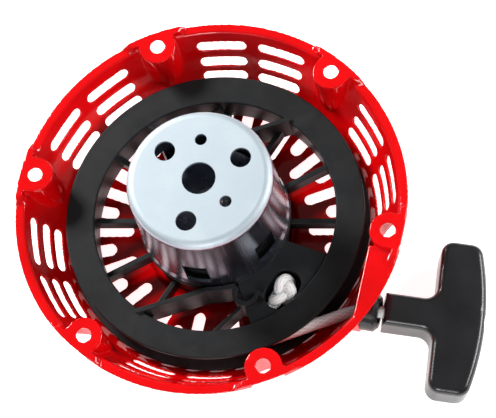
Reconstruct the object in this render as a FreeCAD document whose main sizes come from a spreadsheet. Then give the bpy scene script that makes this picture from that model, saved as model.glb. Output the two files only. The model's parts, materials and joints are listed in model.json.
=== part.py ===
import FreeCAD, Part
import Sketcher
import math
import os
import re

# Recoil starter for a small engine.  Millimetres.  The origin is on the reel's axis in the plane
# of the six mounting ears, +Z points out of the open side (towards the engine), and +X passes
# through a mounting hole.  The pull rope leaves on the +X side, below (-Y).

SIZES = [
    ("sheet", 1.2, "thickness of the case's steel sheet"),
    ("dish_z", -40.2, "inside of the dished centre"),
    ("floor_z", -38.4, "inside of the slotted floor"),
    ("dish_radius", 36.5, "flat part of the dish"),
    ("dish_step", 2.0, "level width of the dish's conical step"),
    ("knuckle_in", 66.6, "where the floor's edge starts to bend up, inside"),
    ("knuckle_radius", 75.2, "where that bend meets the wall, inside"),
    ("knuckle_z", -34.0, "height of that place"),
    ("knuckle_bend", 10.6, "inside radius of that bend"),
    ("skin_out_low", 0.97, "sheet's radial share at the foot of the wall"),
    ("skin_down_low", 0.70, "sheet's share along the axis there"),
    ("wall_bend", 120.0, "inside radius of the wall's gentle bulge"),
    ("mouth_radius", 90.6, "inside of the case's mouth"),
    ("mouth_z", -5.0, "top of the bulging wall"),
    ("skin_out_high", 1.13, "sheet's radial share at the top of the wall"),
    ("skin_down_high", 0.41, "sheet's share along the axis there"),
    ("flange_z", -3.0, "top of the rim flange"),
    ("rim_radius", 95.7, "outer edge of the rim"),
    ("bolt_circle", 88.0, "radius of the circle of mounting holes"),
    ("bolt_hole", 3.5, "radius of a mounting hole"),
    ("ear_radius", 9.0, "half width of an ear and of the flute below it"),
    ("flute_z", -31.0, "foot of the flute below an ear"),
    ("flare_start", 7.2, "distance of a flared side from the mounting hole's axis"),
    ("flare_lean", 36.0, "how far an ear's sides flare, in degrees from the radius"),
    ("ramp_lean", 50.0, "the same at the foot of the ramps beside an ear"),
    ("lip_width", 1.7, "level width of the mouth's rounded edge"),
    ("panel_x", 80.0, "inside of the flat panel with the rope exit"),
    ("panel_near", -8.0, "panel's end beside the ear at zero degrees"),
    ("panel_far", -43.6, "panel's far end"),
    ("panel_z", -31.3, "inside of the panel's floor"),
    ("panel_round", 9.4, "inside radius of the panel's far end, round the ferrule"),
    ("slot_outer", 67.0, "outer end of every floor slot"),
    ("long_slot", 43.8, "inner end of a long floor slot"),
    ("short_slot", 52.7, "inner end of a short floor slot"),
    ("long_width", 5.2, "width of a long floor slot"),
    ("short_width", 6.2, "width of a short floor slot"),
    ("side_width", 5.2, "width of a slot in the wall"),
    ("post_base", 14.0, "radius of the post's welded foot"),
    ("post_foot", 8.0, "radius of the post inside the recoil spring"),
    ("post_radius", 6.0, "radius of the post in the reel's bore"),
    ("post_top", -5.4, "top of the post"),
    ("thread", 2.5, "radius of the setting screw's thread"),
    ("running", 0.05, "radial clearance of everything that turns on the post"),
    ("reel_top", -16.9, "upper face of the reel"),
    ("reel_radius", 73.5, "edge of the reel's upper flange"),
    ("lower_radius", 74.6, "edge of the reel's lower flange"),
    ("ring_radius", 59.5, "inside of the reel's rim"),
    ("root_radius", 61.6, "bottom of the rope groove"),
    ("groove_top", -18.5, "upper side of the rope groove"),
    ("groove_low", -30.7, "lower side of the rope groove"),
    ("reel_low", -32.4, "underside of the reel's rim"),
    ("seat_z", -18.3, "seat of the starter cup"),
    ("seat_radius", 37.2, "edge of the cup's seat"),
    ("hub_radius", 35.2, "outside of the reel's spring housing"),
    ("hub_wall", 2.0, "its wall"),
    ("hub_low", -39.5, "its lower edge"),
    ("web_z", -28.8, "top of the web above the recoil spring"),
    ("web_low", -31.0, "underside of that web"),
    ("bore_wall", 4.5, "wall of the reel's bore"),
    ("deck_z", -13.2, "deck that carries the ratchets"),
    ("deck_radius", 31.0, "edge of that deck"),
    ("deck_wall", 2.2, "thickness of the deck and of its wall"),
    ("spoke_top", -25.5, "upper edge of a spoke"),
    ("spoke_half", 1.3, "half thickness of a spoke"),
    ("arm_top", -15.6, "upper edge of the curved pocket walls"),
    ("arm_wall", 2.2, "thickness of those walls"),
    ("plate_z", -19.0, "top of the solid plate beside the knot"),
    ("knot_x", 41.0, "knot pocket's centre"),
    ("knot_y", -31.4, "knot pocket's centre"),
    ("knot_turn", 70.0, "direction of the knot pocket's long side"),
    ("knot_half", 3.2, "half distance between the pocket's two end circles"),
    ("knot_pocket", 7.2, "radius of the pocket's end circles"),
    ("knot_floor", -29.0, "floor of the knot pocket"),
    ("pawl_pivot", 21.5, "radius of the circle of pawl pivots"),
    ("pawl_angle", 9.0, "direction of the first pawl's pivot"),
    ("pawl_low", -12.8, "underside of a pawl"),
    ("pawl_high", -8.2, "top of a pawl"),
    ("pawl_pin", 2.4, "radius of a pawl's pivot pin"),
    ("pawl_eye", 4.6, "radius of a pawl round its pin"),
    ("pawl_nose", 2.0, "radius of a pawl's nose"),
    ("pawl_reach", 17.6, "pin to nose"),
    ("pawl_lean", 81.2, "pawl's direction at rest, from the line through its pivot"),
    ("peg_reach", 8.5, "pin to cam peg"),
    ("peg_radius", 1.5, "radius of the cam peg"),
    ("guide_low", -7.6, "underside of the drag plate"),
    ("guide_high", -6.0, "top of the drag plate"),
    ("guide_radius", 30.5, "edge of the drag plate"),
    ("guide_play", 0.6, "room round a peg in its cam slot"),
    ("guide_swing", 25.0, "how far the drag plate lags behind the reel"),
    ("pawl_swing", 30.0, "how far that swings a pawl out"),
    ("wire", 0.45, "radius of the small springs' wire"),
    ("strip", 0.5, "thickness of the recoil spring's strip"),
    ("strip_pitch", 2.0, "its turn-to-turn distance"),
    ("strip_start", 8.7, "its inner radius"),
    ("strip_low", -39.2, "its lower edge"),
    ("strip_high", -31.7, "its upper edge"),
    ("washer_radius", 9.0, "thrust washer"),
    ("washer_thick", 1.0, "thickness of both washers"),
    ("screw_head", 6.5, "radius of the setting screw's head"),
    ("screw_high", 3.6, "height of that head"),
    ("screw_long", 15.0, "length of its thread"),
    ("cup_top", 30.0, "top of the starter cup"),
    ("cup_crown", 35.1, "radius of the cup at its top"),
    ("cup_skirt", 36.0, "radius of the cup above its foot"),
    ("cup_skirt_z", -14.0, "height of the foot's bend"),
    ("cup_foot", 36.8, "radius of the cup at its foot"),
    ("cup_wall", 1.6, "thickness of the cup"),
    ("cup_bend", 4.0, "rounding of the cup's top edge"),
    ("cup_bore", 8.1, "radius of the cup's centre hole"),
    ("cup_bolt", 5.0, "radius of a large hole in the cup's top"),
    ("cup_pin", 2.9, "radius of a small one"),
    ("window_half", 6.0, "half width of a cup window"),
    ("window_low", -14.0, "lower edge of a cup window"),
    ("window_high", 4.0, "upper edge of a cup window"),
    ("rope_radius", 2.9, "radius of the rope"),
    ("rope_z", -21.9, "height of the rope's straight run"),
    ("rope_lay", 68.9, "distance of that run from the axis"),
    ("rope_angle", 30.0, "direction of that run"),
    ("pull_angle", 5.4, "direction in which the grip is pulled"),
    ("exit_x", 89.0, "face of the ferrule"),
    ("exit_y", -33.84, "the pull line's place across the ferrule's face"),
    ("ferrule_y", -34.2, "axis of the ferrule"),
    ("ferrule_bore", 4.2, "radius of the ferrule's bore"),
    ("ferrule_lip", 2.0, "thickness of the ferrule's inner lip"),
    ("ferrule_radius", 9.5, "outer radius of the ferrule"),
    ("ferrule_neck", 7.0, "radius of the ferrule in the panel's hole"),
    ("ferrule_flange", 8.6, "radius of the ferrule's inner lip"),
    ("droop", 12.0, "angle by which the grip hangs down on its rope"),
    ("grip_gap", 1.6, "from the pull line's exit to the shank"),
    ("bar_start", 25.5, "from the exit to the grip's bar"),
    ("bar_end", 45.7, "from the exit to the ends of the bar's outer side"),
    ("bar_half", 38.0, "half length of the bar"),
    ("grip_thick", 8.8, "half thickness of the grip"),
    ("bar_bow", 140.0, "radius of the bar's outer side"),
    ("bar_corner", 6.0, "radius of the bar's corners"),
    ("corner_run", 5.826, "an outer corner's length along the bar's end"),
    ("corner_rise", 4.567, "and along its outer side, where it meets the bow smoothly"),
    ("shank_bend", 6.0, "radius between the shank and the bar"),
    ("grip_edge", 3.0, "rounding of the grip's edges"),
    ("grip_pocket", 7.6, "radius of the knot's pocket in the grip"),
    ("pocket_floor", 37.0, "from the exit to that pocket's floor"),
    ("knot_radius", 5.6, "radius of both knots"),
    ("shank_half", 8.0, "half width of the shank"),
    ("grip_bore", 3.3, "radius of the rope hole in the grip"),
]

doc = FreeCAD.newDocument("recoil_starter")
table = doc.addObject("Spreadsheet::Sheet", "Sizes")
for line, (alias, number, meaning) in enumerate(SIZES, start=1):
    table.set("A%d" % line, meaning)
    table.set("B%d" % line, str(number))
    table.setAlias("B%d" % line, alias)
doc.recompute()

UP = FreeCAD.Vector(0, 0, 1)
ALONG_X = FreeCAD.Rotation(FreeCAD.Vector(0, 1, 0), 90)
FULL = 360.0
EARS = 6
SEAM = 30.0                          # turns the seam of a turned surface clear of the ears


def size(alias):
    return float(getattr(table, alias))


def amount(formula):
    """Number for a sum of sheet names and plain numbers, such as "floor_z-sheet"."""
    total = 0.0
    for sign, term in re.findall(r"([+-]?)\s*([a-z_]+|[0-9.]+)", formula):
        number = size(term) if term[0].isalpha() else float(term)
        total += -number if sign == "-" else number
    return total


def bound(formula):
    """The same sum as an expression on the sheet's cells."""
    return re.sub(r"([a-z_]+)", r"Sizes.\1", formula)


def spot(radius, angle, z=0.0):
    turn = math.radians(angle)
    return FreeCAD.Vector(radius * math.cos(turn), radius * math.sin(turn), z)


def turned_to(angle):
    return FreeCAD.Rotation(UP, angle)


def cylinder(name, radius, low, high, at=(0.0, 0.0)):
    item = doc.addObject("Part::Cylinder", name)
    item.setExpression("Radius", bound(radius))
    item.setExpression("Height", bound(high) + "-(" + bound(low) + ")")
    item.Placement.Base = FreeCAD.Vector(at[0], at[1], 0)
    item.setExpression("Placement.Base.z", bound(low))
    return item


def block(name, x, y, z):
    """A box between pairs of formulas along X, Y and Z."""
    item = doc.addObject("Part::Box", name)
    for size_name, axis, (low, high) in zip(("Length", "Width", "Height"), "xyz", (x, y, z)):
        item.setExpression(size_name, bound(high) + "-(" + bound(low) + ")")
        item.setExpression("Placement.Base." + axis, bound(low))
    return item


def fused(name, pieces):
    item = doc.addObject("Part::MultiFuse", name)
    item.Shapes = pieces
    item.Refine = True
    return item


def less(name, base, tool):
    item = doc.addObject("Part::Cut", name)
    item.Base, item.Tool = base, tool
    item.Refine = True
    return item


def shared(name, base, tool):
    item = doc.addObject("Part::Common", name)
    item.Base, item.Tool = base, tool
    item.Refine = True
    return item


def solid(name, shape):
    """A shape made with Part's own functions, from the sheet's sizes."""
    item = doc.addObject("Part::Feature", name)
    item.Shape = shape
    return item


def ring_of(name, item, angles):
    """Copies of one item, turned about Z."""
    doc.recompute()
    copies = []
    for angle in angles:
        copy = item.Shape.copy()
        copy.rotate(FreeCAD.Vector(), UP, angle)
        copies.append(copy)
    return solid(name, Part.makeCompound(copies))


def sketch_on(body, plane, name):
    sketch = body.newObject("Sketcher::SketchObject", name)
    planes = [item for item in body.Origin.OriginFeatures if item.Role == plane]
    sketch.AttachmentSupport = [(planes[0], "")]
    sketch.MapMode = "FlatFace"
    return sketch


def arc_edge(start, end, radius, outwards):
    """Arc from start to end that bulges to the right of that line, or if not outwards to its left.

    A sketch keeps every arc anticlockwise, so one that bulges left is drawn from its end.
    """
    middle = (start + end) * 0.5
    half = (end - start).Length / 2
    along = (end - start).normalize()
    right = FreeCAD.Vector(along.y, -along.x, 0)
    bulge = radius - math.sqrt(radius * radius - half * half)
    if outwards:
        return Part.Arc(start, middle + right * bulge, end)
    return Part.Arc(end, middle - right * bulge, start)


def closed_outline(sketch, corners):
    """An outline, anticlockwise, whose every corner is held by two formulas on the sheet.

    A corner's third formula is the radius of an arc that leaves it and bulges outwards, or
    inwards where a fourth entry says so.
    """
    points = [FreeCAD.Vector(amount(corner[0]), amount(corner[1]), 0) for corner in corners]
    count = len(points)
    for index, corner in enumerate(corners):
        start, end = points[index], points[(index + 1) % count]
        if len(corner) > 2:
            sketch.addGeometry(arc_edge(start, end, amount(corner[2]), len(corner) == 3), False)
        else:
            sketch.addGeometry(Part.LineSegment(start, end), False)
    first = [2 if len(corner) == 4 else 1 for corner in corners]
    for index in range(count):
        after = (index + 1) % count
        sketch.addConstraint(Sketcher.Constraint("Coincident", index, 3 - first[index], after, first[after]))
    for index, corner in enumerate(corners):
        for kind, formula in zip(("DistanceX", "DistanceY"), corner):
            held = sketch.addConstraint(
                Sketcher.Constraint(kind, -1, 1, index, first[index], amount(formula)))
            if any(letter.isalpha() for letter in formula):
                sketch.setExpression("Constraints[%d]" % held, bound(formula))
        if len(corner) > 2:
            held = sketch.addConstraint(Sketcher.Constraint("Radius", index, amount(corner[2])))
            sketch.setExpression("Constraints[%d]" % held, bound(corner[2]))


def turned(name, outline, seam=0.0):
    """A body turned about Z from (radius, height) corners, with its seam at the angle given."""
    body = doc.addObject("PartDesign::Body", name)
    sketch = sketch_on(body, "XZ_Plane", name + "_profile")
    closed_outline(sketch, outline)
    turn = body.newObject("PartDesign::Revolution", name + "_turn")
    turn.Profile = sketch
    turn.ReferenceAxis = (sketch, ["V_Axis"])
    turn.Angle = FULL
    body.Tip = turn
    body.Placement.Rotation = turned_to(seam)
    return body


def extruded(name, outline, low, high):
    """A body padded up from a polygon of (x, y) formulas."""
    body = doc.addObject("PartDesign::Body", name)
    sketch = sketch_on(body, "XY_Plane", name + "_outline")
    closed_outline(sketch, outline)
    pad = body.newObject("PartDesign::Pad", name + "_pad")
    pad.Profile = sketch
    pad.setExpression("Length", bound(high) + "-(" + bound(low) + ")")
    body.Tip = pad
    body.setExpression("Placement.Base.z", bound(low))
    doc.recompute()
    return body


def long_hole(start, end, radius, low, high):
    """A round-ended prism between two points, from one height to another."""
    along = (end - start).normalize()
    side = FreeCAD.Vector(-along.y, along.x, 0) * radius
    corners = [start + side, end + side, end - side, start - side]
    edges = [
        Part.makeLine(corners[0], corners[1]),
        Part.Arc(corners[1], end + along * radius, corners[2]).toShape(),
        Part.makeLine(corners[2], corners[3]),
        Part.Arc(corners[3], start - along * radius, corners[0]).toShape(),
    ]
    face = Part.Face(Part.Wire(edges))
    face.translate(FreeCAD.Vector(0, 0, low - start.z))
    return face.extrude(FreeCAD.Vector(0, 0, high - low))


# ---------------------------------------------------------------- case

def bowl_outside():
    return turned("bowl_outside", [
        ("0", "dish_z-sheet"),
        ("dish_radius+0.9", "dish_z-sheet"),
        ("dish_radius+dish_step+0.9", "floor_z-sheet"),
        ("knuckle_in", "floor_z-sheet", "knuckle_bend+sheet"),
        ("knuckle_radius+skin_out_low", "knuckle_z-skin_down_low", "wall_bend+sheet"),
        ("mouth_radius+skin_out_high", "mouth_z-skin_down_high"),
        ("mouth_radius+sheet", "flange_z-sheet"),
        ("rim_radius", "flange_z-sheet"),
        ("rim_radius", "flange_z"),
        ("0", "flange_z"),
    ], SEAM)


def bowl_inside():
    return turned("bowl_inside", [
        ("0", "dish_z"),
        ("dish_radius", "dish_z"),
        ("dish_radius+dish_step", "floor_z"),
        ("knuckle_in", "floor_z", "knuckle_bend"),
        ("knuckle_radius", "knuckle_z", "wall_bend"),
        ("mouth_radius", "mouth_z"),
        ("mouth_radius+0.2", "flange_z-1.2"),
        ("mouth_radius+0.7", "flange_z-0.45"),
        ("mouth_radius+lip_width", "flange_z"),
        ("mouth_radius+lip_width", "1"),
        ("0", "1"),
    ], SEAM)


def ear(name, half, low, high):
    """An ear's plan: round towards the axis, straight-sided out to the rim, at zero degrees."""
    round_end = cylinder(name + "_round", half, low, high, (size("bolt_circle"), 0))
    tongue = doc.addObject("Part::Box", name + "_tongue")
    tongue.setExpression("Length", "Sizes.rim_radius+5-Sizes.bolt_circle")
    tongue.setExpression("Width", "2*(%s)" % bound(half))
    tongue.setExpression("Height", bound(high) + "-(" + bound(low) + ")")
    tongue.setExpression("Placement.Base.x", bound("bolt_circle"))
    tongue.setExpression("Placement.Base.y", "-1*(%s)" % bound(half))
    tongue.setExpression("Placement.Base.z", bound(low))
    return fused(name, [round_end, tongue])


def ear_flare(name, low, high):
    """The ear's sides, flared out to the rim and ramped down to the flange, at zero degrees."""
    outlines = []
    for lean, height in ((size("ramp_lean"), low), (size("flare_lean"), high)):
        near = FreeCAD.Vector(size("bolt_circle"), 0, height) + spot(size("flare_start"), 90 + lean)
        far = size("rim_radius") + 5
        spread = near.y + (far - near.x) * math.tan(math.radians(lean))
        corners = [FreeCAD.Vector(x, y, height) for x, y in
                   ((near.x, -near.y), (far, -spread), (far, spread), (near.x, near.y))]
        outlines.append(Part.makePolygon(corners + corners[:1]))
    return solid(name, Part.makeLoft(outlines, True, True))


def panel_end(name, extra, x, near, low, high):
    """Takes the lower corner off the panel's far end, so that it follows the ferrule."""
    corner = block(name + "_corner", x, ("panel_far-5", "ferrule_y"), ("panel_z-5", "rope_z"))
    keep = doc.addObject("Part::Cylinder", name + "_round")
    keep.setExpression("Radius", bound("panel_round" + extra))
    keep.Height = 60
    keep.Placement = FreeCAD.Placement(FreeCAD.Vector(50, size("ferrule_y"), size("rope_z")), ALONG_X)
    body = block(name + "_block", x, near, (low, high))
    return less(name, body, less(name + "_spare", corner, keep))


def side_slots():
    """Three rows of round-ended slots through the wall, two groups in each sector but the last."""
    rows = [(88.2, -11.9, 25.0), (83.7, -20.8, 29.0), (79.1, -28.0, 33.0)]
    half_turn = 8.0
    cutters = []
    for radius, height, lean in rows:
        half = radius * math.sin(math.radians(half_turn)) - size("side_width") / 2
        ends = FreeCAD.Vector(0, half, 0)
        cutter = long_hole(-ends, ends, size("side_width") / 2, -6.0, 6.0)
        cutter.rotate(FreeCAD.Vector(), FreeCAD.Vector(0, 1, 0), 90.0 + lean)
        cutter.translate(FreeCAD.Vector(radius, 0, height))
        for sector in range(EARS - 1):
            for group in (20.0, 40.0):
                copy = cutter.copy()
                copy.rotate(FreeCAD.Vector(), UP, FULL / EARS * sector + group)
                cutters.append(copy)
    return solid("side_slots", Part.makeCompound(cutters))


def floor_slots():
    """Long and short radial slots in turn."""
    cutters = []
    for number in range(36):
        kind = "long" if number % 2 else "short"
        half = size(kind + "_width") / 2
        angle = 10.0 * number
        start = spot(size(kind + "_slot") + half, angle)
        end = spot(size("slot_outer") - half, angle)
        cutters.append(long_hole(start, end, half, size("dish_z"), size("floor_z") + 1))
    return solid("floor_slots", Part.makeCompound(cutters))


def case_shell():
    turns = [FULL / EARS * number for number in range(EARS)]
    panel_y = ("panel_far", "panel_near")
    outer_y = ("panel_far-sheet", "panel_near+sheet")
    recess_y = ("panel_far+sheet", "panel_near-sheet")
    outer_x = ("60", "panel_x+sheet")
    panel_out = panel_end("panel_outside", "+sheet", outer_x, outer_y, "panel_z-sheet", "flange_z")
    panel_in = panel_end("panel_inside", "", ("60", "panel_x"), panel_y, "panel_z", "1")
    recess_x = ("panel_x+sheet", "rim_radius+5")
    keep_out = block("panel_recess", recess_x, recess_y, ("dish_z-5", "flange_z-sheet"))
    keep_in = block("panel_fill", ("panel_x", "rim_radius+5"), panel_y, ("dish_z-5", "flange_z"))
    ear_out = ear("ear_outside", "ear_radius", "flute_z", "0")
    ear_in = ear("ear_inside", "ear_radius-sheet", "floor_z-10", "0-sheet")
    rim = cylinder("rim_cylinder", "rim_radius", "flange_z-0.5", "0")
    doc.recompute()
    ears_out = ring_of("ears_outside", ear_out, turns)
    flares = ring_of("ear_flares", ear_flare("ear_flare", size("flange_z") - 0.5, 0.0), turns)
    pads = shared("ear_pads", rim, fused("ear_plans", [ears_out, flares]))
    outside = fused("outside", [less("bowl_cut", bowl_outside(), keep_out), panel_out, pads])
    hollow = fused("hollow", [less("cavity_cut", bowl_inside(), keep_in), panel_in])
    whole = less("case_whole", outside, less("hollow_cut", hollow, ears_out))
    hole = cylinder("bolt_hole_tool", "bolt_hole", "0-5", "5", (size("bolt_circle"), 0))
    exit_hole = doc.addObject("Part::Cylinder", "exit_hole")
    exit_hole.setExpression("Radius", bound("ferrule_neck"))
    exit_hole.Height = 30
    exit_hole.Placement = FreeCAD.Placement(
        FreeCAD.Vector(70, size("ferrule_y"), size("rope_z")), ALONG_X)
    doc.recompute()
    for tool in (ring_of("flutes", ear_in, turns), ring_of("bolt_holes", hole, turns), exit_hole,
                 side_slots(), floor_slots()):
        whole = less("case_less_" + tool.Name, whole, tool)
    whole.Label = "case_shell"
    return whole



# ---------------------------------------------------------------- reel

def sector(name, inner, outer, low, high, start, sweep):
    """Part of a flat ring about Z, from a start angle through a sweep."""
    whole = cylinder(name + "_outer", outer, low, high)
    whole.Angle = sweep
    whole.Placement.Rotation = turned_to(start)
    return less(name, whole, cylinder(name + "_inner", inner, low + "-1", high + "+1"))


def bow(centre, radius, start, sweep, half, low, high):
    """An upright wall that follows an arc."""
    base = FreeCAD.Vector(centre.x, centre.y, low)
    outer = Part.makeCylinder(radius + half, high - low, base, UP, sweep)
    inner = Part.makeCylinder(radius - half, high - low, base, UP, sweep)
    wall = outer.cut(inner)
    wall.rotate(centre, UP, start)
    return wall


def pocket_arm():
    """The curved wall beside the cup: from the rim, round the cup, then out round a bump."""
    half, low, high = size("arm_wall") / 2, size("reel_low"), size("arm_top")
    bump = FreeCAD.Vector(24.3, -37.2, 0)
    bump_radius = 5.4
    cup_wall = 39.1
    at_rim = spot(size("ring_radius") + 1, -115)
    bend = FreeCAD.Vector(-6.9, -45.0, 0)
    by_cup = spot(cup_wall, -82)
    off_cup = spot(cup_wall, -63)
    bump_in = bump + spot(bump_radius, 165)
    bump_out = bump + spot(bump_radius, 15)
    pieces = [
        long_hole(at_rim, bend, half, low, high),
        long_hole(bend, by_cup, half, low, high),
        bow(FreeCAD.Vector(), cup_wall, -82, 19, half, low, high),
        long_hole(off_cup, bump_in, half, low, high),
        bow(bump, bump_radius, 165, 210, half, low, high),
        long_hole(bump_out, FreeCAD.Vector(35.5, -38.0, 0), half, low, high),
        long_hole(bump + spot(bump_radius, 250), spot(size("ring_radius") + 1, -80), half * 0.8,
                  low, high - 6),
    ]
    return solid("pocket_arm", pieces[0].multiFuse(pieces[1:]))


def knot_ends():
    along = spot(size("knot_half"), size("knot_turn"))
    centre = FreeCAD.Vector(size("knot_x"), size("knot_y"), 0)
    return centre - along, centre + along


def reel():
    bore = "post_radius+running"
    rim = turned("reel_rim", [
        ("ring_radius", "reel_low"),
        ("lower_radius", "reel_low"),
        ("lower_radius", "groove_low"),
        ("root_radius", "groove_low"),
        ("root_radius", "groove_top"),
        ("reel_radius", "groove_top"),
        ("reel_radius", "reel_top-0.4"),
        ("reel_radius-0.5", "reel_top"),
        ("ring_radius+0.5", "reel_top"),
        ("ring_radius", "reel_top-0.5"),
    ], SEAM)
    hub = turned("reel_hub", [
        (bore, "web_low"),
        ("hub_radius-hub_wall", "web_low"),
        ("hub_radius-hub_wall", "hub_low"),
        ("hub_radius", "hub_low"),
        ("hub_radius", "seat_z-2"),
        ("seat_radius", "seat_z-2"),
        ("seat_radius", "seat_z"),
        ("deck_radius", "seat_z"),
        ("deck_radius", "deck_z"),
        (bore, "deck_z"),
    ], SEAM)
    core = turned("reel_core", [
        (bore + "+bore_wall", "web_z"),
        ("deck_radius-deck_wall", "web_z"),
        ("deck_radius-deck_wall", "deck_z-deck_wall"),
        (bore + "+bore_wall", "deck_z-deck_wall"),
    ], SEAM)
    web_hole = cylinder("web_hole", "bore_wall", "web_low-1", "web_z+1", (20, 0))
    along = ("hub_radius-0.5", "ring_radius+0.5")
    spoke = block("spoke", along, ("-spoke_half", "spoke_half"), ("reel_low", "spoke_top"))
    pins = [pawl_pivot(number) for number in range(2)]
    posts = [cylinder("pawl_post%d" % number, "pawl_pin", "deck_z-5", "pawl_high+0.4", (at.x, at.y))
             for number, at in enumerate(pins)]
    bosses = [cylinder("pin_boss%d" % number, "pawl_eye+1.2", "deck_z-5", "deck_z-1", (at.x, at.y))
              for number, at in enumerate(pins)]
    wells = [cylinder("pin_well%d" % number, "pawl_eye-0.4", "deck_z-3.4", "deck_z+1", (at.x, at.y))
             for number, at in enumerate(pins)]
    doc.recompute()
    near, far = knot_ends()
    pocket, rim_wall = size("knot_pocket"), 1.8
    boss = long_hole(near, far, pocket + rim_wall, size("knot_floor") - rim_wall, size("plate_z"))
    hollow = long_hole(near, far, pocket, size("knot_floor"), size("plate_z") + 5)
    tunnel = Part.makeCylinder(3.1, 20, spot(46, -38.7, -24.0), spot(1, -38.7))
    arm = pocket_arm()
    plate = sector("knot_plate", "hub_radius-0.5", "ring_radius+0.5", "plate_z-2.4", "plate_z", -60, 50)
    body = less("hub_hollow", hub, core)
    body = less("hub_holed", body, ring_of("web_holes", web_hole, [60 * k + 30 for k in range(6)]))
    body = fused("reel_bosses", [body] + bosses)
    body = less("reel_welled", body, fused("pin_wells", wells))
    body = fused("reel_body", [
        body, rim, plate,
        ring_of("spokes", spoke, [9.4, 38.0, 68.5, 189.4, 218.0, 248.5, 98.0, 156.0]),
        ring_of("pocket_arms", arm, [0, 180]),
        link_wall(), solid("knot_boss", boss)] + posts)
    body = less("reel_pocket", body, solid("knot_hollow", hollow))
    whole = less("reel", body, solid("rope_tunnel", tunnel))
    return whole


def link_wall():
    """Ties the second arm's bump to the rim."""
    half, low, high = size("arm_wall") / 2, size("reel_low"), size("arm_top") - 2
    wall = long_hole(FreeCAD.Vector(-35.5, 38.0, 0), spot(size("ring_radius") + 1, 137), half, low, high)
    return solid("link_wall", wall)


def recoil_spring():
    """A flat strip wound from half circles whose centres swap sides."""
    pitch, strip = size("strip_pitch"), size("strip")
    halves = int((size("hub_radius") - size("hub_wall") - 1.2 - size("strip_start")) / (pitch / 2))
    inner, outer = [], []
    for number in range(halves):
        radius = size("strip_start") + number * pitch / 2
        side = 1 if number % 2 == 0 else -1
        shift = 0 if number % 2 == 0 else pitch / 2
        for edges, extra in ((inner, 0.0), (outer, strip)):
            reach = radius + extra
            start = FreeCAD.Vector(shift + side * reach, 0, 0)
            middle = FreeCAD.Vector(shift, side * reach, 0)
            end = FreeCAD.Vector(shift - side * reach, 0, 0)
            edges.append(Part.Arc(start, middle, end).toShape())
    caps = [
        Part.makeLine(inner[0].Vertexes[0].Point, outer[0].Vertexes[0].Point),
        Part.makeLine(inner[-1].Vertexes[-1].Point, outer[-1].Vertexes[-1].Point),
    ]
    face = Part.Face(Part.Wire(Part.__sortEdges__(inner + outer + caps)))
    face.translate(FreeCAD.Vector(0, 0, size("strip_low")))
    strip_solid = face.extrude(UP * (size("strip_high") - size("strip_low")))
    return solid("recoil_spring", strip_solid)


# ---------------------------------------------------------------- ratchets and post

def pawl_pivot(number):
    return spot(size("pawl_pivot"), size("pawl_angle") + 180.0 * number)


def peg_place(number, swing):
    """Where a pawl's peg is when the pawl has swung out by an angle."""
    direction = size("pawl_angle") + 180.0 * number + size("pawl_lean") - swing
    return pawl_pivot(number) + spot(size("peg_reach"), direction)


def ratchet(number, name):
    low, high = size("pawl_low"), size("pawl_high")
    pivot = pawl_pivot(number)
    direction = size("pawl_angle") + 180.0 * number + size("pawl_lean")
    tip = pivot + spot(size("pawl_reach"), direction)
    waist = pivot + spot(size("peg_reach"), direction)
    depth = high - low
    eye = Part.makeCylinder(size("pawl_eye"), depth, pivot + UP * low)
    peg = Part.makeCylinder(size("peg_radius"), size("guide_high") + 0.8 - low, waist + UP * low)
    body = eye.multiFuse([
        long_hole(pivot, waist, size("pawl_nose") + 1.2, low, high),
        long_hole(waist, tip, size("pawl_nose"), low, high),
        peg,
    ])
    hole = Part.makeCylinder(size("pawl_pin") + size("running"), depth + 2, pivot + UP * (low - 1))
    return solid(name, body.cut(hole))


def coil(name, radius, wire, low, high, turns, centre):
    """A round-wire compression spring."""
    pitch = (high - low - 2 * wire) / turns
    helix = Part.makeHelix(pitch, high - low - 2 * wire, radius)
    ring = Part.Wire(Part.makeCircle(wire, FreeCAD.Vector(radius, 0, 0), FreeCAD.Vector(0, 1, 0)))
    shape = Part.Wire(helix).makePipeShell([ring], True, True)
    shape.translate(FreeCAD.Vector(centre.x, centre.y, low + wire))
    return solid(name, shape)


def ratchet_guide():
    disc = turned("guide_disc", [
        ("post_radius+running", "guide_low"),
        ("guide_radius", "guide_low"),
        ("guide_radius", "guide_high"),
        ("post_radius+running", "guide_high"),
    ])
    cams = []
    for number in range(2):
        start = peg_place(number, 0.0)
        end = turned_to(size("guide_swing")).multVec(peg_place(number, size("pawl_swing")))
        room = size("peg_radius") + size("guide_play")
        cams.append(long_hole(start, end, room, size("guide_low") - 1, size("guide_high") + 1))
    return less("ratchet_guide", disc, solid("guide_cams", Part.makeCompound(cams)))


def center_post():
    return turned("center_post", [
        ("0", "dish_z"),
        ("post_base", "dish_z"),
        ("post_base", "dish_z+0.6"),
        ("post_foot", "dish_z+0.6"),
        ("post_foot", "web_low-0.4"),
        ("post_radius", "web_low-0.4"),
        ("post_radius", "post_top"),
        ("thread", "post_top"),
        ("thread", "post_top-screw_long-1"),
        ("0", "post_top-screw_long-1"),
    ])


def thrust_washer():
    ring = cylinder("washer_disc", "washer_radius", "post_top", "post_top+washer_thick")
    return less("thrust_washer", ring, cylinder("washer_hole", "thread+0.2", "post_top-1", "post_top+2"))


def setting_screw():
    """Pan-head screw with a cross recess."""
    seat = "post_top+washer_thick"
    head = turned("screw_body", [
        ("0", "post_top-screw_long"),
        ("thread-0.1", "post_top-screw_long"),
        ("thread-0.1", seat),
        ("screw_head", seat),
        ("screw_head", seat + "+screw_high-1.4"),
        ("screw_head-1.4", seat + "+screw_high"),
        ("0", seat + "+screw_high"),
    ])
    deep = (seat + "+screw_high-2", seat + "+screw_high+1")
    cross = fused("cross_recess", [
        block("cross_one", ("-3", "3"), ("-0.6", "0.6"), deep),
        block("cross_two", ("-0.6", "0.6"), ("-3", "3"), deep),
    ])
    return less("setting_screw", head, cross)


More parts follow.
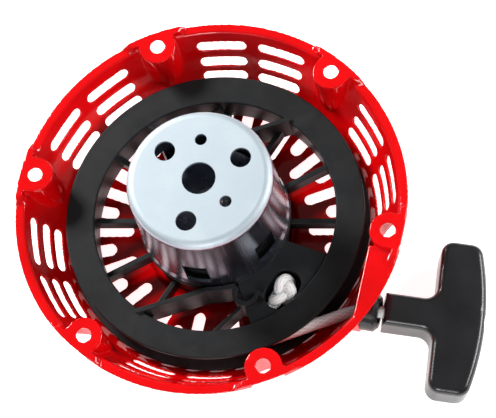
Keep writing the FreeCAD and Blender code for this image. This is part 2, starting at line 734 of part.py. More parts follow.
def starter_cup():
    outer = turned("cup_outside", [
        ("0", "seat_z"),
        ("cup_foot", "seat_z"),
        ("cup_foot", "seat_z+1.2"),
        ("cup_skirt", "cup_skirt_z"),
        ("cup_crown", "cup_top-cup_bend", "cup_bend"),
        ("cup_crown-cup_bend", "cup_top"),
        ("0", "cup_top"),
    ], SEAM / 2)
    inner = turned("cup_inside", [
        ("0", "seat_z-1"),
        ("cup_foot-cup_wall", "seat_z-1"),
        ("cup_foot-cup_wall", "seat_z+1.2"),
        ("cup_skirt-cup_wall", "cup_skirt_z"),
        ("cup_crown-cup_wall", "cup_top-cup_bend", "cup_bend-cup_wall"),
        ("cup_crown-cup_bend", "cup_top-cup_wall"),
        ("0", "cup_top-cup_wall"),
    ], SEAM / 2)
    window = block("window", ("30", "45"), ("-window_half", "window_half"), ("window_low", "window_high"))
    doc.recompute()
    first = -87.5
    holes = [("cup_bore", 0.0, 0.0), ("cup_bolt", 22.0, 37.7), ("cup_bolt", 22.0, 150.5),
             ("cup_bolt", 22.0, 267.3), ("cup_pin", 19.7, 100.0), ("cup_pin", 17.9, -31.5)]
    drills = [Part.makeCylinder(size(hole), 10, spot(reach, angle, size("cup_top") - 5))
              for hole, reach, angle in holes]
    shell = less("cup_shell", outer, inner)
    shell = less("cup_windowed", shell, ring_of("windows", window, [first + 60 * k for k in range(6)]))
    return less("starter_cup", shell, solid("cup_holes", Part.makeCompound(drills)))


# ---------------------------------------------------------------- rope and grip

def pull_point(distance):
    """A point on the line of the pull, at a distance beyond the ferrule's face."""
    return FreeCAD.Vector(size("exit_x"), size("exit_y"), size("rope_z")) + spot(distance, size("pull_angle"))


def rod(start, end, radius):
    return Part.makeCylinder(radius, (end - start).Length, start, end - start)


def rope_wound():
    """The turns that stay on the reel."""
    return turned("rope_wound", [
        ("root_radius", "groove_low+0.2"),
        ("rope_lay-rope_radius-1.4", "groove_low+0.2"),
        ("rope_lay-rope_radius-0.4", "groove_low+1.4"),
        ("rope_lay-rope_radius-0.4", "groove_top-1.4"),
        ("rope_lay-rope_radius-1.4", "groove_top-0.2"),
        ("root_radius", "groove_top-0.2"),
    ], SEAM)


def rope_lead():
    """From the reel, straight towards the ferrule, round a small bend and half way through it."""
    along = spot(1, size("rope_angle"))
    start = spot(size("rope_lay"), size("rope_angle") - 90, size("rope_z"))
    pull = spot(1, size("pull_angle"))
    exit_point = pull_point(0)
    gap = exit_point - start
    cross = along.x * pull.y - along.y * pull.x
    reach = (gap.x * pull.y - gap.y * pull.x) / cross
    corner = start + along * reach
    tangent = 4.0
    half_turn = math.radians((size("rope_angle") - size("pull_angle")) / 2)
    bend = tangent / math.tan(half_turn)
    bend_start, bend_end = corner - along * tangent, corner + pull * tangent
    centre = bend_start + FreeCAD.Vector(along.y, -along.x, 0) * bend
    middle = centre + (corner - centre).normalize() * bend
    route = Part.Wire([
        Part.makeLine(start, bend_start),
        Part.Arc(bend_start, middle, bend_end).toShape(),
        Part.makeLine(bend_end, pull_point(-6.3)),
    ])
    end_ring = Part.Wire(Part.makeCircle(size("rope_radius"), start, along))
    return solid("rope_lead", route.makePipeShell([end_ring], True, False))


def rope_guide():
    """Turned ferrule: a lip inside the panel, a neck through it and a nose outside."""
    bore, neck, nose = size("ferrule_bore"), size("ferrule_neck"), size("ferrule_radius")
    inside, outside, face = size("panel_x"), size("panel_x") + size("sheet"), size("exit_x")
    lip = size("ferrule_lip")
    flare = 1.2
    outline = [
        (bore, inside - lip + flare), (bore + flare, inside - lip),
        (size("ferrule_flange"), inside - lip), (size("ferrule_flange"), inside),
        (neck, inside), (neck, outside), (nose, outside), (nose, face - 2.0), (nose - 2.0, face),
        (bore + flare, face), (bore, face - flare),
    ]
    points = [FreeCAD.Vector(across, 0, along) for across, along in outline]
    face_shape = Part.Face(Part.makePolygon(points + points[:1]))
    shape = face_shape.revolve(FreeCAD.Vector(), UP, FULL)
    item = solid("rope_guide", shape)
    item.Placement = FreeCAD.Placement(FreeCAD.Vector(0, size("ferrule_y"), size("rope_z")), ALONG_X)
    return item


def grip_placement():
    lean = FreeCAD.Rotation(FreeCAD.Vector(0, 1, 0), size("droop"))
    return FreeCAD.Placement(pull_point(0), turned_to(size("pull_angle")).multiply(lean))


def grip():
    """T-shaped handle, drawn along +X from the exit point and then laid on the drooping line."""
    plan = extruded("grip_plan", [
        ("grip_gap", "0-shank_half"),
        ("bar_start-shank_bend", "0-shank_half", "shank_bend", "inwards"),
        ("bar_start", "0-shank_half-shank_bend"),
        ("bar_start", "bar_corner-bar_half", "bar_corner"),
        ("bar_start+bar_corner", "0-bar_half"),
        ("bar_end-corner_run", "0-bar_half", "bar_corner"),
        ("bar_end", "corner_rise-bar_half", "bar_bow"),
        ("bar_end", "bar_half-corner_rise", "bar_corner"),
        ("bar_end-corner_run", "bar_half"),
        ("bar_start+bar_corner", "bar_half", "bar_corner"),
        ("bar_start", "bar_half-bar_corner"),
        ("bar_start", "shank_half+shank_bend", "shank_bend", "inwards"),
        ("bar_start-shank_bend", "shank_half"),
        ("grip_gap", "shank_half"),
    ], "0-grip_thick", "grip_thick")
    rounded = doc.addObject("Part::Fillet", "grip_rounded")
    rounded.Base = plan
    flat_edges = [number for number, edge in enumerate(plan.Shape.Edges, start=1)
                  if abs(abs(edge.CenterOfMass.z) - size("grip_thick")) < 0.1]
    rounded.Edges = [(number, size("grip_edge"), size("grip_edge")) for number in flat_edges]
    across = FreeCAD.Vector(1, 0, 0)
    drills = Part.makeCompound([
        Part.makeCylinder(size("grip_bore"), size("pocket_floor") + 1, FreeCAD.Vector(), across),
        Part.makeCylinder(size("grip_pocket"), 30, across * size("pocket_floor"), across),
    ])
    drilled = less("grip_drilled", rounded, solid("grip_drills", drills))
    doc.recompute()
    return laid("grip", drilled.Shape)


def laid(name, shape):
    """Moves a shape drawn along +X from the exit point onto the drooping pull line."""
    item = solid(name, shape.copy())
    item.Placement = grip_placement()
    return item


def rope_end_pieces():
    across = FreeCAD.Vector(1, 0, 0)
    floor, thick = size("pocket_floor"), size("washer_thick")
    neck = rod(pull_point(-6.0), pull_point(-0.6), size("rope_radius"))
    tail = rod(across * 0.6, across * (floor + thick), size("rope_radius"))
    disc = Part.makeCylinder(size("grip_pocket") - 1, thick, across * floor, across)
    hole = Part.makeCylinder(size("rope_radius") + 0.05, thick + 2, across * (floor - 1), across)
    knot = Part.makeSphere(size("knot_radius"), across * (floor + thick + size("knot_radius")))
    in_reel = FreeCAD.Vector(size("knot_x"), size("knot_y"), size("knot_floor") + size("knot_radius"))
    return [
        solid("rope_neck", neck),
        laid("rope_tail", tail),
        laid("grip_washer", disc.cut(hole)),
        laid("grip_knot", knot),
        solid("reel_knot", Part.makeSphere(size("knot_radius"), in_reel)),
    ]


def small_springs():
    wire = size("wire")
    low, high = size("deck_z") - 3.3, size("deck_z") + 0.1
    springs = [coil("ratchet_spring_" + letter, 3.3, wire, low, high, 3, pawl_pivot(number))
               for number, letter in enumerate("ab")]
    springs.append(coil("friction_spring", 8.6, wire, size("deck_z") + 0.05, size("guide_low") - 0.3, 3,
                        FreeCAD.Vector()))
    return springs


nodes = [
    case_shell(), center_post(), rope_guide(), reel(), recoil_spring(), ratchet(0, "ratchet_a"),
    ratchet(1, "ratchet_b"), ratchet_guide(), thrust_washer(), setting_screw(), starter_cup(),
    rope_wound(), rope_lead(), grip(),
] + small_springs() + rope_end_pieces()
doc.recompute()

for item in doc.Objects:
    if "Invalid" in item.State or "Error" in item.State:
        raise RuntimeError("%s did not build: %s" % (item.Name, item.State))
for node in nodes:
    if node.Shape.isNull() or not node.Shape.isValid() or len(node.Shape.Solids) != 1:
        raise RuntimeError("%s: %d solids" % (node.Label, len(node.Shape.Solids)))

os.makedirs("parts", exist_ok=True)
for node in nodes:
    node.Shape.exportStep("parts/%s.step" % node.Label)
    print("%-18s %9.1f mm3" % (node.Label, node.Shape.Volume))
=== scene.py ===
import json
import math

import bpy
import numpy as np
from mathutils import Matrix, Vector


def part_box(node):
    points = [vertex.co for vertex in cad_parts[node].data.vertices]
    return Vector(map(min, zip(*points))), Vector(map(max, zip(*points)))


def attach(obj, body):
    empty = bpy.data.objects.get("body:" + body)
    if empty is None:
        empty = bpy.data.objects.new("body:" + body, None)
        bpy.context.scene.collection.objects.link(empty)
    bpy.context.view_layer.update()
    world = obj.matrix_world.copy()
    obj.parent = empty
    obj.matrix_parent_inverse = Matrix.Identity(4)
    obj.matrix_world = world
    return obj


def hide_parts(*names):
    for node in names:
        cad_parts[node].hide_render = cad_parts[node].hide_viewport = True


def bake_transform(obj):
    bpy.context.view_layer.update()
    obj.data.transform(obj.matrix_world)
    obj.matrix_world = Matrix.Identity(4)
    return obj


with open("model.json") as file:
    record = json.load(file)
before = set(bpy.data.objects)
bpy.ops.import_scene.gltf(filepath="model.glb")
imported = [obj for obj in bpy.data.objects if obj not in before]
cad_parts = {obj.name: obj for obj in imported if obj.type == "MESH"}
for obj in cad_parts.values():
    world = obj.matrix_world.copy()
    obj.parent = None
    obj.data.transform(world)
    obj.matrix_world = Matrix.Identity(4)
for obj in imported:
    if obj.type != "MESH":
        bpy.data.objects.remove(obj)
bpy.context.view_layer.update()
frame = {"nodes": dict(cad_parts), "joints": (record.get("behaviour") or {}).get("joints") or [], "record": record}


def node_box(name):
    """Lowest and highest corner of a CAD node, as numpy arrays."""
    low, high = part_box(name)
    return np.array(low), np.array(high)


def joint(name):
    """The frame's entry for a joint."""
    return next(item for item in frame["joints"] if item["name"] == name)


# Places that several pieces share, worked out from the frame.
cup_top = node_box("starter_cup")[1][2]
case_bottom = node_box("case_shell")[0][2]
lead_low, lead_high = node_box("rope_lead")
EXIT = np.array(joint("grip_swing")["pos_m"])
PULL = np.array(joint("handle_pull")["axis"])
FULL_PULL = joint("handle_pull")["range_m"][1]
ROPE_RADIUS = (lead_high[2] - lead_low[2]) / 2
ROPE_Z = (lead_high[2] + lead_low[2]) / 2

# Sizes of the rope and of its way through the starter, in metres.
LAY = 0.0689                         # radius of the rope's top turn, where the lead leaves it
FIRST_LAY = 0.0642                   # radius of the two turns below it
GROOVE_LOW = -0.0307                 # the reel's groove, along the axis
GROOVE_HIGH = -0.0185
IN_FERRULE = 0.0063                  # how far inside the ferrule the lead ends and the neck starts
THIN_ROPE = 0.00285                  # rope with a little room round it, so that it doesn't rub
KNOT_ROPE = 0.0026                   # rope pulled tight in a knot
LEAD_ANGLE = math.radians(30.0)      # way the lead runs off the reel
KNOT_ANGLE = math.radians(70.0)      # way the reel's knot lies in its pocket


# ------------------------------------------------------------------ surfaces

def grid_mesh(name, points, uv, close_u=False, close_v=False, caps=False):
    """A quad mesh from a grid of points[u, v], joined up along u and v where they close."""
    rows, columns = points.shape[:2]
    index = np.arange(rows * columns).reshape(rows, columns)
    right = np.roll(index, -1, axis=1) if close_v else index[:, 1:]
    left = index if close_v else index[:, :-1]
    up_left, up_right = np.roll(left, -1, axis=0), np.roll(right, -1, axis=0)
    if not close_u:
        left, right, up_left, up_right = left[:-1], right[:-1], up_left[:-1], up_right[:-1]
    quads = np.stack([left, right, up_right, up_left], axis=-1).reshape(-1, 4)
    vertices = points.reshape(-1, 3)
    faces = [tuple(quad) for quad in quads.tolist()]
    if caps:
        faces.append(tuple(index[0, ::-1].tolist()))
        faces.append(tuple(index[-1].tolist()))
    mesh = bpy.data.meshes.new(name)
    mesh.from_pydata(vertices.tolist(), [], faces)
    layer = mesh.uv_layers.new(name="surface")
    loops = np.empty(len(mesh.loops), dtype=np.int32)
    mesh.loops.foreach_get("vertex_index", loops)
    layer.data.foreach_set("uv", uv.reshape(-1, 2)[loops].ravel().astype(np.float32))
    mesh.polygons.foreach_set("use_smooth", np.ones(len(mesh.polygons), dtype=bool))
    mesh.update()
    return mesh


def piece(name, mesh, material, body):
    """Puts a mesh in the scene as one piece that rides on a body."""
    item = bpy.data.objects.new(name, mesh)
    bpy.context.scene.collection.objects.link(item)
    item.data.materials.append(material)
    if body:
        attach(item, body)
    return item


def frames_along(path):
    """Unit tangent, side and up at each point of a path, with the side kept from twisting."""
    tangent = np.gradient(path, axis=0)
    tangent /= np.linalg.norm(tangent, axis=1, keepdims=True)
    up = np.tile(np.array([0.0, 0.0, 1.0]), (len(path), 1))
    side = np.cross(up, tangent)
    size = np.linalg.norm(side, axis=1, keepdims=True)
    side = np.where(size > 1e-6, side / np.maximum(size, 1e-9), np.array([1.0, 0.0, 0.0]))
    up = np.cross(tangent, side)
    return tangent, side, up


def run_length(path):
    """Length along a path at each of its points."""
    steps = np.linalg.norm(np.diff(path, axis=0), axis=1)
    return np.concatenate([[0.0], np.cumsum(steps)])


# ------------------------------------------------------------------ materials

def shader(name, color, metallic=0.0, roughness=0.5, **sockets):
    """A material with one Principled shader; sockets are set by name, such as coat_weight."""
    material = bpy.data.materials.new(name)
    material.use_nodes = True
    principled = material.node_tree.nodes["Principled BSDF"]
    principled.inputs["Base Color"].default_value = (*color, 1.0)
    principled.inputs["Metallic"].default_value = metallic
    principled.inputs["Roughness"].default_value = roughness
    for key, value in sockets.items():
        title = key.replace("_", " ").title().replace("Ior", "IOR")
        principled.inputs[title].default_value = value
    return material, principled


def add(material, kind, **inputs):
    """Adds a node; inputs are its sockets by name, as values or as other nodes' outputs."""
    node = material.node_tree.nodes.new(kind)
    for key, value in inputs.items():
        feed(material, node.inputs[key.replace("_", " ")], value)
    return node


def feed(material, socket, value):
    """Sets a socket to a value, or links another node's output to it."""
    if isinstance(value, bpy.types.NodeSocket):
        material.node_tree.links.new(value, socket)
    else:
        socket.default_value = value


def place(material, stretch=(1.0, 1.0, 1.0)):
    """Object coordinates, stretched."""
    coordinates = add(material, "ShaderNodeTexCoord")
    mapping = add(material, "ShaderNodeMapping", Vector=coordinates.outputs["Object"], Scale=stretch)
    return mapping.outputs["Vector"]


def noise(material, vector, scale, detail=3.0, roughness=0.55, distortion=0.0):
    """Uneven clouds from 0 to 1, scale of them to a metre."""
    return add(material, "ShaderNodeTexNoise", Vector=vector, Scale=scale, Detail=detail,
               Roughness=roughness, Distortion=distortion).outputs["Fac"]


def remap(material, value, low, high, low_out, high_out):
    """Maps low..high evenly to low_out..high_out, held at both ends."""
    node = add(material, "ShaderNodeMapRange", Value=value)
    node.inputs["From Min"].default_value = low
    node.inputs["From Max"].default_value = high
    node.inputs["To Min"].default_value = low_out
    node.inputs["To Max"].default_value = high_out
    return node.outputs["Result"]


def blend_colors(material, factor, first, second):
    """The first colour where the factor is 0 and the second where it is 1."""
    node = material.node_tree.nodes.new("ShaderNodeMix")
    node.data_type = "RGBA"
    feed(material, node.inputs[0], factor)
    for socket, color in ((node.inputs[6], first), (node.inputs[7], second)):
        feed(material, socket, color if isinstance(color, bpy.types.NodeSocket) else (*color, 1.0))
    return node.outputs[2]


def bump(material, height, distance, strength=1.0, normal=None):
    """Normals of a relief that stands out by the distance, in metres, where the height is 1."""
    node = add(material, "ShaderNodeBump", Height=height, Distance=distance, Strength=strength)
    if normal:
        feed(material, node.inputs["Normal"], normal)
    return node.outputs["Normal"]


def math_node(material, operation, first, second):
    """One sum of two values, such as MULTIPLY or SUBTRACT."""
    node = material.node_tree.nodes.new("ShaderNodeMath")
    node.operation = operation
    feed(material, node.inputs[0], first)
    feed(material, node.inputs[1], second)
    return node.outputs[0]


def soft_edges(material, radius):
    """Normals that run round every edge over a small radius, as moulded and painted edges do."""
    node = add(material, "ShaderNodeBevel", Radius=radius)
    node.samples = 6
    return node.outputs["Normal"]


def red_paint():
    """Gloss stoving enamel: faint orange peel, slightly uneven depth of colour, dusty roughness."""
    material, body = shader("red_enamel", (0.72, 0.002, 0.004), roughness=0.5, coat_weight=1.0,
                            coat_roughness=0.05, coat_ior=1.5, specular_ior_level=0.0)
    peel = noise(material, place(material), 420.0, 2.0)
    cloud = noise(material, place(material), 38.0, 4.0)
    speck = noise(material, place(material), 1900.0, 2.0)
    color = blend_colors(material, remap(material, cloud, 0.3, 0.7, 0.0, 1.0),
                         (0.66, 0.001, 0.002), (0.80, 0.002, 0.004))
    feed(material, body.inputs["Base Color"], color)
    feed(material, body.inputs["Roughness"], remap(material, speck, 0.3, 0.7, 0.24, 0.38))
    feed(material, body.inputs["Normal"], bump(material, peel, 0.00006))
    return material


def reel_plastic():
    """Glass-filled nylon, matt from the mould, with flow marks and very fine grain."""
    material, body = shader("reel_nylon", (0.02, 0.021, 0.023), roughness=0.45, specular_ior_level=0.24)
    grain = noise(material, place(material), 2600.0, 2.0)
    flow = noise(material, place(material, (1.0, 1.0, 3.0)), 60.0, 5.0, distortion=1.5)
    color = blend_colors(material, remap(material, flow, 0.3, 0.72, 0.0, 1.0),
                         (0.012, 0.013, 0.014), (0.015, 0.016, 0.017))
    feed(material, body.inputs["Base Color"], color)
    feed(material, body.inputs["Roughness"], remap(material, flow, 0.25, 0.75, 0.36, 0.5))
    edges = soft_edges(material, 0.0006)
    feed(material, body.inputs["Normal"], bump(material, grain, 0.00003, 1.0, edges))
    return material


def grip_plastic():
    """Moulded grip: satin black with a fine spark-eroded texture and rubbed, shinier high spots."""
    material, body = shader("grip_black", (0.02, 0.02, 0.022), roughness=0.32, specular_ior_level=0.4,
                            coat_weight=0.35, coat_roughness=0.12)
    grain = noise(material, place(material), 1500.0, 3.0)
    wear = noise(material, place(material), 45.0, 4.0)
    feed(material, body.inputs["Roughness"], remap(material, wear, 0.3, 0.7, 0.24, 0.38))
    color = blend_colors(material, wear, (0.009, 0.009, 0.010), (0.014, 0.014, 0.016))
    feed(material, body.inputs["Base Color"], color)
    feed(material, body.inputs["Normal"], bump(material, grain, 0.00004))
    return material


def ferrule_plastic():
    """Glossy black ferrule with fine turning marks."""
    material, body = shader("ferrule_black", (0.014, 0.014, 0.016), roughness=0.24)
    scuff = noise(material, place(material, (1.0, 6.0, 6.0)), 260.0, 3.0)
    feed(material, body.inputs["Roughness"], remap(material, scuff, 0.3, 0.7, 0.16, 0.34))
    feed(material, body.inputs["Normal"], bump(material, scuff, 0.00002))
    return material


def zinc_plate():
    """Drawn steel, zinc plated: satin pale blue crown, glossy side with draw streaks down it; the side's base
    colour is darker than the crown's as painted shade.
    """
    material, body = shader("blue_zinc", (0.80, 0.84, 0.89), metallic=1.0, roughness=0.2)
    coordinates = add(material, "ShaderNodeTexCoord")
    split = add(material, "ShaderNodeSeparateXYZ", Vector=coordinates.outputs["Object"])
    # crown is 1 on the top and 0 down the side; it sets where the side gets its painted shade and its glossier
    # finish
    crown = remap(material, split.outputs["Z"], cup_top - 0.0035, cup_top - 0.0004, 0.0, 1.0)
    streaks = noise(material, place(material, (1.0, 1.0, 0.02)), 260.0, 4.0)
    cloud = noise(material, place(material), 55.0, 5.0)
    stain = noise(material, place(material), 900.0, 3.0)
    # painted shade: the side's base colour is set darker than the crown's
    side = blend_colors(material, remap(material, streaks, 0.35, 0.65, 0.0, 1.0),
                        (0.32, 0.36, 0.43), (0.38, 0.42, 0.49))
    top = blend_colors(material, remap(material, cloud, 0.3, 0.7, 0.0, 1.0),
                       (0.54, 0.62, 0.67), (0.60, 0.67, 0.71))
    feed(material, body.inputs["Base Color"], blend_colors(material, crown, side, top))
    bright = remap(material, streaks, 0.3, 0.7, 0.23, 0.29)
    satin = remap(material, stain, 0.3, 0.7, 0.62, 0.70)
    rough = add(material, "ShaderNodeMix")
    feed(material, rough.inputs[0], crown)
    feed(material, rough.inputs[2], bright)
    feed(material, rough.inputs[3], satin)
    feed(material, body.inputs["Roughness"], rough.outputs[0])
    ripple = math_node(material, "MULTIPLY", streaks, math_node(material, "SUBTRACT", 1.0, crown))
    feed(material, body.inputs["Normal"], bump(material, ripple, 0.000015))
    return material


def bright_steel(name, color, rough):
    """Machined steel with short random scratches."""
    material, body = shader(name, color, metallic=1.0, roughness=rough)
    scratch = noise(material, place(material, (1.0, 8.0, 1.0)), 500.0, 4.0)
    worn = remap(material, scratch, 0.3, 0.7, rough * 0.7, rough * 1.4)
    feed(material, body.inputs["Roughness"], worn)
    feed(material, body.inputs["Normal"], bump(material, scratch, 0.00003))
    return material


def rope_fibre():
    """White polyester braid: yarns along each strand, with painted shade that greys the hollows between strands.
    """
    material, body = shader("white_braid", (0.82, 0.82, 0.80), roughness=0.8, sheen_weight=0.3)
    height = add(material, "ShaderNodeAttribute")
    height.attribute_name = "plait"
    yarn = noise(material, place(material), 3200.0, 3.0)
    # painted shade: the rope is coloured grey where the plait height is low, in the hollows between strands, and
    # near white on the strands
    color = blend_colors(material, remap(material, height.outputs["Fac"], 0.0, 0.8, 0.0, 1.0),
                         (0.62, 0.62, 0.62), (0.95, 0.95, 0.94))
    feed(material, body.inputs["Base Color"], color)
    feed(material, body.inputs["Normal"], bump(material, yarn, 0.0001))
    return material


finishes = {
    "red_paint": red_paint(),
    "black_plastic": reel_plastic(),
    "grip_plastic": grip_plastic(),
    "black_ferrule": ferrule_plastic(),
    "zinc": zinc_plate(),
    "steel": bright_steel("steel_machined", (0.56, 0.56, 0.57), 0.28),
    "spring_steel": bright_steel("steel_blued", (0.20, 0.21, 0.25), 0.3),
    "rope": rope_fibre(),
}

for entry in frame["record"]["subparts"]:
    node = frame["nodes"][entry["node"]]
    if not node.data.materials:
        node.data.materials.append(finishes[entry["material_slot"]])
    for slot in node.material_slots:
        slot.material = finishes[entry["material_slot"]]


# ------------------------------------------------------------------ rounded shells

def rounded(name, node, body, slot, cell, passes):
    """A CAD shell with its edges rolled over, as paint and pressing leave them.

    The merged shell is laid on an even net of squares, a cell wide. Each pass moves every point a
    share of the way to the mean of its neighbours, and then a slightly larger share back, so edges
    get round while walls keep their thickness.
    """
    source = frame["nodes"][node]
    item = bpy.data.objects.new(name, source.data.copy())
    bpy.context.scene.collection.objects.link(item)
    item.matrix_world = source.matrix_world
    weld = item.modifiers.new("weld", "WELD")
    weld.merge_threshold = 0.000002
    net = item.modifiers.new("net", "REMESH")
    net.mode = "VOXEL"
    net.voxel_size = cell
    net.use_smooth_shade = True
    depsgraph = bpy.context.evaluated_depsgraph_get()
    shell = bpy.data.meshes.new_from_object(item.evaluated_get(depsgraph))
    shell.name = name
    item.modifiers.clear()
    item.data = shell

    count = len(shell.vertices)
    points = np.empty(count * 3)
    shell.vertices.foreach_get("co", points)
    points = points.reshape(-1, 3)
    ends = np.empty(len(shell.edges) * 2, dtype=np.int64)
    shell.edges.foreach_get("vertices", ends)
    first, second = ends.reshape(-1, 2).T
    neighbours = np.bincount(first, minlength=count) + np.bincount(second, minlength=count)
    for share in (0.5, -0.52) * passes:
        total = np.empty_like(points)
        for axis in range(3):
            along = points[:, axis]
            total[:, axis] = (np.bincount(first, along[second], count)
                              + np.bincount(second, along[first], count))
        points = points + share * (total / neighbours[:, None] - points)
    shell.vertices.foreach_set("co", points.ravel())
    shell.update()
    shell.materials.clear()
    shell.materials.append(finishes[slot])
    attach(item, body)
    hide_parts(node)


rounded("enamelled_case", "case_shell", "case", "red_paint", 0.00062, 6)


# ------------------------------------------------------------------ rope

STRANDS = 8                          # plaits round the rope
PLAIT_STEP = 0.0046                  # length of one plait along the rope
PLAIT_DEPTH = 0.11                   # share of the rope's radius by which a plait stands out


def braid(name, path, body, radius=ROPE_RADIUS, columns=56, length=None):
    """Braided rope along a path.

    With p and q as strands round the rope plus and minus turns along it, the surface stands out by
    |cos(pi p)| where the p strand is over and by |cos(pi q)| where the q strand is over, and the two
    take turns as cos(pi (p + q)) changes sign. length is the rope's own length at each point.
    """
    tangent, side, up = frames_along(path)
    length = (run_length(path) if length is None else length)[:, None]
    turn = np.linspace(0.0, 2 * np.pi, columns, endpoint=False)[None, :]
    along = length / PLAIT_STEP
    around = STRANDS * turn / (2 * np.pi)
    p_strand, q_strand = around + along, around - along
    over = 0.5 + 0.5 * np.clip(2.2 * np.cos(np.pi * (p_strand + q_strand)), -1, 1)
    plait = over * np.abs(np.cos(np.pi * p_strand)) + (1 - over) * np.abs(np.cos(np.pi * q_strand))
    reach = radius * (1 - PLAIT_DEPTH + PLAIT_DEPTH * plait)
    ring = np.cos(turn)[..., None] * side[:, None] + np.sin(turn)[..., None] * up[:, None]
    points = path[:, None] + reach[..., None] * ring
    uv = np.stack(np.broadcast_arrays(along * 0.1, turn / (2 * np.pi)), axis=-1)
    mesh = grid_mesh(name, points, uv, close_v=True, caps=True)
    # the plait height also drives the painted shade in the rope's hollows
    attribute = mesh.attributes.new("plait", "FLOAT", "POINT")
    attribute.data.foreach_set("value", plait.ravel().astype(np.float32))
    return piece(name, mesh, finishes["rope"], body)


def line(start, end, step):
    """Points on a straight line, a step apart."""
    count = max(3, int(np.linalg.norm(end - start) / step))
    share = np.linspace(0.0, 1.0, count)[:, None]
    return start + share * (end - start)


def lead_path():
    """Tangent off the reel, straight, then over to the pull line along a smooth share of the way."""
    leaves = LEAD_ANGLE - math.pi / 2
    off_reel = np.array([LAY * math.cos(leaves), LAY * math.sin(leaves), ROPE_Z])
    along = np.array([math.cos(LEAD_ANGLE), math.sin(LEAD_ANGLE), 0.0])
    half_way = EXIT - IN_FERRULE * PULL
    across = along[0] * PULL[1] - along[1] * PULL[0]
    gap = EXIT - off_reel
    corner = off_reel + along * (gap[0] * PULL[1] - gap[1] * PULL[0]) / across
    bend = 0.006
    before = corner - bend * along
    after = corner + bend * PULL
    share = np.linspace(0.0, 1.0, 40)[:, None]
    curve = (1 - share) ** 2 * before + 2 * share * (1 - share) * corner + share ** 2 * after
    straight = line(off_reel, before, 0.0003)
    onward = line(after, half_way, 0.0003)
    return np.vstack([straight[:-1], curve, onward[1:]])


def wound_path():
    """Two turns side by side in the groove, then one on top of them that ends where the lead starts."""
    end = LEAD_ANGLE - math.pi / 2
    angle = np.linspace(end - math.radians(1050.0), end, 2100)
    turns = (angle - angle[0]) / (2 * math.pi)
    climb = np.clip((turns - 1.9) / 0.2, 0.0, 1.0)
    climb = climb * climb * (3 - 2 * climb)
    radius = FIRST_LAY + (LAY - FIRST_LAY) * climb
    low = GROOVE_LOW + ROPE_RADIUS + 0.0001
    high = GROOVE_HIGH - ROPE_RADIUS - 0.0001
    step = np.clip((turns - 0.85) / 0.3, 0.0, 1.0)
    height = low + (high - low) * step * step * (3 - 2 * step)
    height = height + (ROPE_Z - height) * climb
    return np.stack([radius * np.cos(angle), radius * np.sin(angle), height], axis=1)


def neck_path():
    """The short run inside the ferrule that follows the grip out, with its points set for full pull.

    A point at share s of the run moves out by the pull times 3 s^2 - 2 s^3, so the points are spread
    evenly in s times the run plus that, and the plaits are counted along the same length.
    """
    start = EXIT - IN_FERRULE * PULL
    end = EXIT + 0.0004 * PULL
    share = np.linspace(0.0, 1.0, 20001)
    pulled = share * np.linalg.norm(end - start) + FULL_PULL * (3 * share ** 2 - 2 * share ** 3)
    even = np.linspace(0.0, pulled[-1], 1500)
    share = np.interp(even, pulled, share)
    return start + share[:, None] * (end - start), even


def knot(name, centre, long_way, wide_way, reach, body, node):
    """A pulled-tight overhand knot.

    The rope's middle runs at (sin t + 2 sin 2t) / 3 of the long reach, (cos t - 2 cos 2t) / 3 of the
    wide reach, and -sin 3t of the deep reach, for t once round.
    """
    deep_way = np.cross(long_way, wide_way)
    t = np.linspace(0.15, 2 * np.pi + 0.10, 420)
    path = (centre + reach[0] * ((np.sin(t) + 2 * np.sin(2 * t)) / 3)[:, None] * long_way
            + reach[1] * ((np.cos(t) - 2 * np.cos(2 * t)) / 3)[:, None] * wide_way
            - reach[2] * np.sin(3 * t)[:, None] * deep_way)
    item = braid(name, path, body, KNOT_ROPE, 40)
    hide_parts(node)


def unit(*values):
    """A direction of length 1."""
    vector = np.array(values, dtype=float)
    return vector / np.linalg.norm(vector)


lead = braid("rope_lead_braid", lead_path(), "case")
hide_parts("rope_lead")

wound = braid("rope_wound_braid", wound_path(), "reel", THIN_ROPE, 26)
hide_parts("rope_wound")

neck_points, neck_length = neck_path()
neck = braid("rope_neck_braid", neck_points, None, THIN_ROPE, 24, neck_length)
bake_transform(neck)
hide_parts("rope_neck")

washer_low, washer_high = node_box("grip_washer")
grip_knot_low, grip_knot_high = node_box("grip_knot")
grip_knot_middle = (grip_knot_low + grip_knot_high) / 2
grip_way = unit(*(grip_knot_middle - EXIT))
washer_middle = (washer_low + washer_high) / 2
tail_end = EXIT + grip_way * (np.dot(washer_middle - EXIT, grip_way) + 0.0005)
tail_path = line(EXIT - 0.0002 * grip_way, tail_end, 0.0004)
tail = braid("rope_tail_braid", tail_path, "handle", THIN_ROPE, 32)
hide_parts("rope_tail")

grip_side = unit(*np.cross([0.0, 0.0, 1.0], grip_way))
knot("grip_knot_tied", grip_knot_middle, grip_side, np.cross(grip_way, grip_side),
     (0.0044, 0.0040, 0.0026), "handle", "grip_knot")

reel_knot_low, reel_knot_high = node_box("reel_knot")
knot_middle = (reel_knot_low + reel_knot_high) / 2 + np.array([0.0, 0.0, 0.0012])
knot_way = unit(math.cos(KNOT_ANGLE), math.sin(KNOT_ANGLE), 0.12)
knot("reel_knot_tied", knot_middle, knot_way, unit(*np.cross([0.0, 0.0, 1.0], knot_way)),
     (0.0068, 0.0042, 0.0022), "reel", "reel_knot")
knot_end = knot_middle - 0.0052 * knot_way
end_path = line(knot_end, knot_end - 0.0050 * unit(0.7, 0.75, 0.1), 0.0003)
braid("reel_knot_end", end_path, "reel", KNOT_ROPE, 40)


# ------------------------------------------------------------------ stage, light and camera

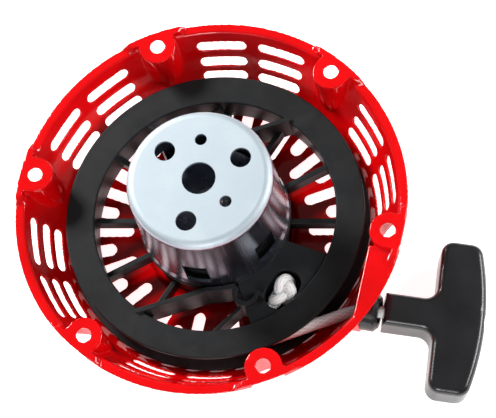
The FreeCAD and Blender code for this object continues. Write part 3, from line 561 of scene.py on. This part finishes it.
def build_stage():
    """A pale floor just below the case, which glows a little and is clear from underneath."""
    floor_z = case_bottom - 0.0003
    reach = 3.0
    around = ((-reach, -reach), (reach, -reach), (reach, reach), (-reach, reach))
    mesh = bpy.data.meshes.new("floor")
    mesh.from_pydata([(*corner, floor_z) for corner in around], [], [(0, 1, 2, 3)])
    floor = bpy.data.objects.new("floor", mesh)
    bpy.context.scene.collection.objects.link(floor)
    material, body = shader("pale_floor", (0.95, 0.95, 0.95), roughness=0.9, specular_ior_level=0.0,
                            emission_color=(1.0, 1.0, 1.0, 1.0), emission_strength=0.9)
    through = add(material, "ShaderNodeBsdfTransparent")
    sheet = add(material, "ShaderNodeMixShader")
    from_below = add(material, "ShaderNodeNewGeometry").outputs["Backfacing"]
    feed(material, sheet.inputs[0], from_below)
    feed(material, sheet.inputs[1], body.outputs[0])
    feed(material, sheet.inputs[2], through.outputs[0])
    surface = material.node_tree.nodes["Material Output"].inputs["Surface"]
    feed(material, surface, sheet.outputs[0])
    mesh.materials.append(material)


def softbox(name, at, size, power, color=(1.0, 1.0, 1.0)):
    """A square area light that faces the middle of the object."""
    light = bpy.data.lights.new(name, "AREA")
    light.shape = "SQUARE"
    light.size = size
    light.energy = power
    light.color = color
    item = bpy.data.objects.new(name, light)
    item.location = at
    item.rotation_euler = (-Vector(at)).to_track_quat("-Z", "Y").to_euler()
    bpy.context.scene.collection.objects.link(item)


def build_camera():
    """A long lens that looks down into the case, leaning 23 degrees from the axis, and rolled."""
    lean = Matrix.Rotation(-0.380895, 3, "X")
    sway = Matrix.Rotation(-0.145951, 3, "Y")
    roll = Matrix.Rotation(-0.221934, 3, "Z")
    turn = lean @ sway @ roll
    shift = Vector((-0.018865, 0.003512, -1.26219))
    camera = bpy.data.cameras.new("camera")
    camera.lens = 190.9
    camera.clip_start = 0.05
    item = bpy.data.objects.new("camera", camera)
    item.matrix_world = Matrix.Translation(-(turn.transposed() @ shift)) @ turn.transposed().to_4x4()
    bpy.context.scene.collection.objects.link(item)
    bpy.context.scene.camera = item


build_stage()
softbox("key", (-0.95, 0.55, 0.80), 0.36, 20.0)
softbox("side", (1.0, 0.45, 0.62), 0.45, 10.0)
softbox("under", (-0.4, -0.5, -1.1), 0.8, 9.0)
softbox("front", (0.25, -1.1, 0.75), 0.5, 9.0)
world = bpy.data.worlds.new("studio")
world.use_nodes = True
world.node_tree.nodes["Background"].inputs[0].default_value = (1.0, 1.0, 1.0, 1.0)
world.node_tree.nodes["Background"].inputs[1].default_value = 0.14
bpy.context.scene.world = world
bpy.context.scene.view_settings.view_transform = "Standard"
build_camera()
